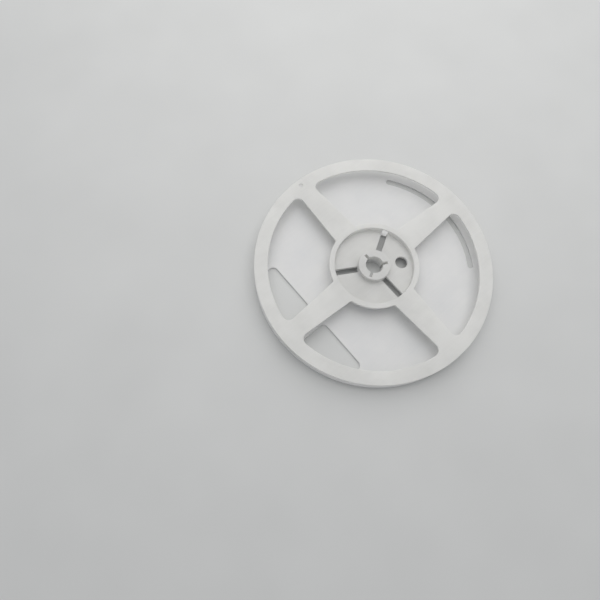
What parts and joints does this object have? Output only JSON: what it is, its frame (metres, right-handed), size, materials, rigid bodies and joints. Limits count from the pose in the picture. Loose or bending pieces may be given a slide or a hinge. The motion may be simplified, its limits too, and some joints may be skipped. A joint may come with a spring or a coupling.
{
  "type": "smd tape reel",
  "caption": "Round flat reel for electronic component tape, with windowed flanges around a recessed hub and a keyed spindle hole.",
  "frame": {"origin": "On the spindle axis, at the outer face of the back flange, which the reel lies on.", "axes": "+Z runs along the spindle axis from the back flange to the front flange. +X runs along a spoke of the front flange, opposite to the large opening in the back flange. +Y completes the right-handed frame and runs along the spoke with the small rim hole."},
  "size_m": [0.18, 0.18, 0.012],
  "materials": {
    "front_plastic": "moulded white polystyrene, satin, slightly translucent",
    "back_plastic": "moulded white polystyrene, satin, slightly translucent"
  },
  "bodies": {
    "root": {"front_half": "front_plastic", "back_half": "back_plastic"}
  },
  "joints": []
}
